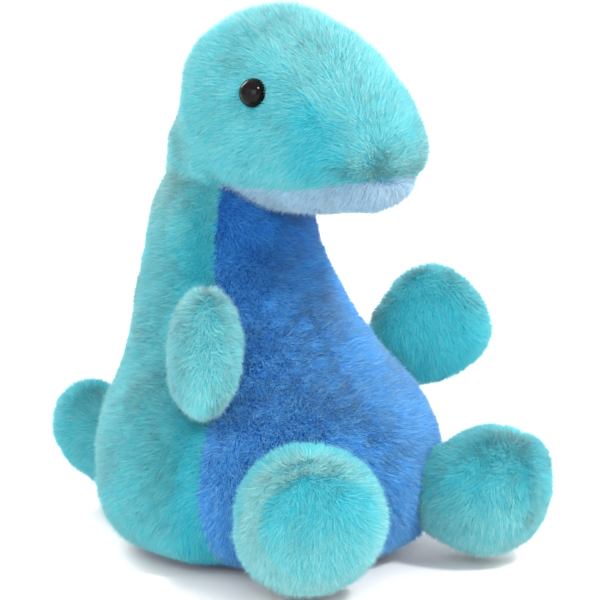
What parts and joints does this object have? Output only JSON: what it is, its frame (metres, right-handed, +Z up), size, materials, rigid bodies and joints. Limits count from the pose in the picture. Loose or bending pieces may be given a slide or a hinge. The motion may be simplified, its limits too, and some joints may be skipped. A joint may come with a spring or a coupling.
{
  "type": "stuffed dinosaur",
  "caption": "Seated stuffed long-necked dinosaur in teal plush with a blue belly, soft bending neck, arms, legs and tail.",
  "frame": {"origin": "centre of the flat face under the seat, on the floor", "axes": "+Z up; the face looks along -Y; the toy's left side is at +X"},
  "size_m": [0.1096, 0.1405, 0.1281],
  "materials": {
    "plush_teal": "matte",
    "plush_blue": "matte",
    "plush_chin": "matte",
    "fibre": "matte",
    "pouch_cloth": "matte",
    "beans": "matte",
    "thread": "matte",
    "washer": "satin",
    "eye_black": "gloss"
  },
  "bodies": {
    "torso": {"back_panel_left": "plush_teal", "back_panel_right": "plush_teal", "belly_panel": "plush_blue", "base_panel": "plush_blue", "body_stuffing": "fibre", "bean_pouch_top": "pouch_cloth", "bean_pouch_bottom": "pouch_cloth", "bean_fill": "beans", "closing_stitches": "thread"},
    "head": {"head_side_left": "plush_teal", "head_side_right": "plush_teal", "head_gusset": "plush_teal", "chin_panel": "plush_chin", "head_stuffing": "fibre", "eye_left": "eye_black", "eye_right": "eye_black", "eye_washer_left": "washer", "eye_washer_right": "washer"},
    "arm_left": {"arm_left_front": "plush_teal", "arm_left_back": "plush_teal", "arm_left_stuffing": "fibre"},
    "arm_right": {"arm_right_front": "plush_teal", "arm_right_back": "plush_teal", "arm_right_stuffing": "fibre"},
    "leg_left": {"leg_left_upper": "plush_teal", "leg_left_lower": "plush_teal", "leg_left_sole": "plush_teal", "leg_left_stuffing": "fibre"},
    "leg_right": {"leg_right_upper": "plush_teal", "leg_right_lower": "plush_teal", "leg_right_sole": "plush_teal", "leg_right_stuffing": "fibre"},
    "tail": {"tail_left": "plush_teal", "tail_right": "plush_teal", "tail_stuffing": "fibre"}
  },
  "joints": [
    {"name": "head_nod", "type": "hinge", "parent": "torso", "child": "head", "pos_m": [0, 0.013, 0.091], "axis": [1, 0, 0], "range_deg": [-8, 8], "stiffness_Nm_per_rad": 1},
    {"name": "arm_left_swing", "type": "hinge", "parent": "torso", "child": "arm_left", "pos_m": [0.0367, -0.00265, 0.0395], "axis": [0.5633, -0.3108, -0.7656], "range_deg": [-20, 20], "stiffness_Nm_per_rad": 0.05},
    {"name": "arm_right_swing", "type": "hinge", "parent": "torso", "child": "arm_right", "pos_m": [-0.02911, -0.0089, 0.047], "axis": [0.3034, 0.2959, 0.9058], "range_deg": [-20, 20], "stiffness_Nm_per_rad": 0.05},
    {"name": "leg_left_lift", "type": "hinge", "parent": "torso", "child": "leg_left", "pos_m": [0.02026, -0.03656, 0.028], "axis": [-0.8746, -0.4848, 0], "range_deg": [0, 25], "stiffness_Nm_per_rad": 0.05},
    {"name": "leg_right_lift", "type": "hinge", "parent": "torso", "child": "leg_right", "pos_m": [-0.02337, -0.03465, 0.0297], "axis": [-0.829, 0.5592, 0], "range_deg": [0, 25], "stiffness_Nm_per_rad": 0.05},
    {"name": "tail_lift", "type": "hinge", "parent": "torso", "child": "tail", "pos_m": [0, 0.0417, 0.0265], "axis": [1, 0, 0], "range_deg": [0, 25], "stiffness_Nm_per_rad": 0.05}
  ]
}
